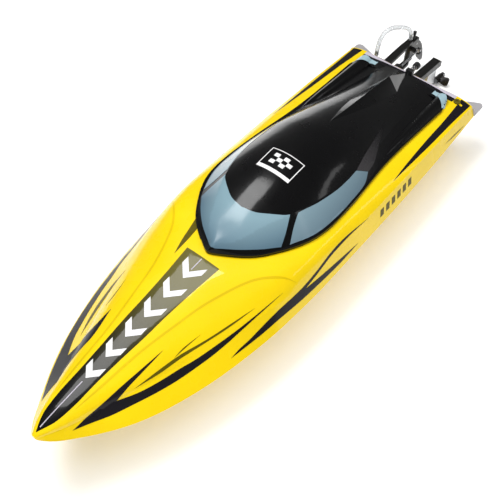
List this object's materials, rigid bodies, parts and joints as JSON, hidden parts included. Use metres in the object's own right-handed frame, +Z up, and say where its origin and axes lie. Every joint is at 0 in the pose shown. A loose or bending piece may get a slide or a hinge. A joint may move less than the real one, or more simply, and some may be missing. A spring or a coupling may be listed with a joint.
{
  "type": "rc boat",
  "caption": "Deep-V radio-controlled racing boat with a lift-off canopy, an inclined shaft drive and a linked stern rudder.",
  "frame": {"origin": "bottom centre of the bounding box, under the propeller's lowest edge", "axes": "+X towards the bow, +Y to port, +Z up, keel level"},
  "size_m": [0.7034, 0.191, 0.1325],
  "materials": {
    "hull_yellow": "gloss",
    "plug_olive": "satin",
    "canopy_black": "gloss",
    "seal_rubber": "matte",
    "ring_blue": "gloss",
    "black_plastic": "satin",
    "steel": "polished",
    "screw_steel": "satin",
    "brass_tube": "satin",
    "aluminium_plain": "satin",
    "motor_black": "satin",
    "jacket_blue": "anodised",
    "hardware_black": "satin",
    "propeller_plastic": "satin",
    "grey_nipple": "satin",
    "bellows_rubber": "matte",
    "white_plastic": "satin",
    "silicone_clear": "translucent",
    "tray_plastic": "matte",
    "electronics_blue": "satin",
    "battery_wrap": "gloss",
    "strap_fabric": "woven",
    "tab_grey": "satin"
  },
  "bodies": {
    "hull": {"hull_shell": "hull_yellow", "deck": "hull_yellow", "drain_plug": "plug_olive", "canopy_seal": "seal_rubber", "latch_lug": "black_plastic", "latch_spring": "steel", "stuffing_tube": "brass_tube", "motor_screws": "screw_steel", "motor_mount": "aluminium_plain", "motor_can": "motor_black", "motor_jacket": "jacket_blue", "strut_leg": "aluminium_plain", "strut_bushings": "brass_tube", "strut_bracket": "hardware_black", "strut_screws": "screw_steel", "rudder_bracket": "hardware_black", "rudder_bracket_screws": "screw_steel", "rudder_pivot": "grey_nipple", "pushrod_bellows": "bellows_rubber", "servo": "black_plastic", "servo_mount": "aluminium_plain", "water_tube": "silicone_clear", "transom_nipple": "grey_nipple", "water_outlet": "grey_nipple", "radio_tray": "tray_plastic", "speed_controller": "electronics_blue", "receiver_box": "tray_plastic", "battery_port": "battery_wrap", "battery_starboard": "battery_wrap", "battery_tray_port": "tray_plastic", "battery_tray_starboard": "tray_plastic", "battery_straps": "strap_fabric", "trim_tab_port": "tab_grey", "trim_tab_starboard": "tab_grey", "trim_tab_screws": "screw_steel"},
    "drive": {"prop_shaft": "steel", "motor_shaft": "steel", "coupler": "aluminium_plain", "coupler_screws": "screw_steel", "drive_dog": "aluminium_plain", "prop_nut": "screw_steel", "propeller": "propeller_plastic"},
    "rudder": {"rudder_stock": "hardware_black", "rudder_blade": "hardware_black", "rudder_screws": "screw_steel", "tiller_arm": "hardware_black", "shear_pin": "hardware_black"},
    "rod": {"pushrod": "steel"},
    "horn": {"servo_horn": "white_plastic"},
    "canopy": {"canopy": "canopy_black", "nacelle_rings": "ring_blue"},
    "latch": {"latch_pin": "steel", "latch_knob": "black_plastic"}
  },
  "joints": [
    {"name": "shaft_spin", "type": "hinge", "parent": "hull", "child": "drive", "pos_m": [-0.33625, 0, 0.00603], "axis": [0.9925, 0, 0.1219], "continuous": true},
    {"name": "rudder_turn", "type": "hinge", "parent": "hull", "child": "rudder", "pos_m": [-0.30825, -0.038, 0.03903], "axis": [0, 0, 1], "range_deg": [-25, 25]},
    {"name": "rod_swing", "type": "hinge", "parent": "rudder", "child": "rod", "pos_m": [-0.30825, -0.024, 0.05903], "axis": [0, 0, 1], "range_deg": [-25, 25]},
    {"name": "horn_turn", "type": "hinge", "parent": "hull", "child": "horn", "pos_m": [-0.16325, -0.038, 0.05503], "axis": [0, 0, 1], "range_deg": [-25, 25]},
    {"name": "canopy_lift", "type": "slide", "parent": "hull", "child": "canopy", "axis": [0, 0, 1], "range_m": [0, 0.06]},
    {"name": "latch_pull", "type": "slide", "parent": "hull", "child": "latch", "axis": [-1, 0, 0], "range_m": [0, 0.005], "stiffness_N_per_m": 300, "springref_m": -0.004, "deforming": ["latch_spring"]}
  ],
  "couplings": [
    {"joint": "rod_swing", "follows": "rudder_turn", "ratio": -1},
    {"joint": "horn_turn", "follows": "rudder_turn", "ratio": 1}
  ]
}
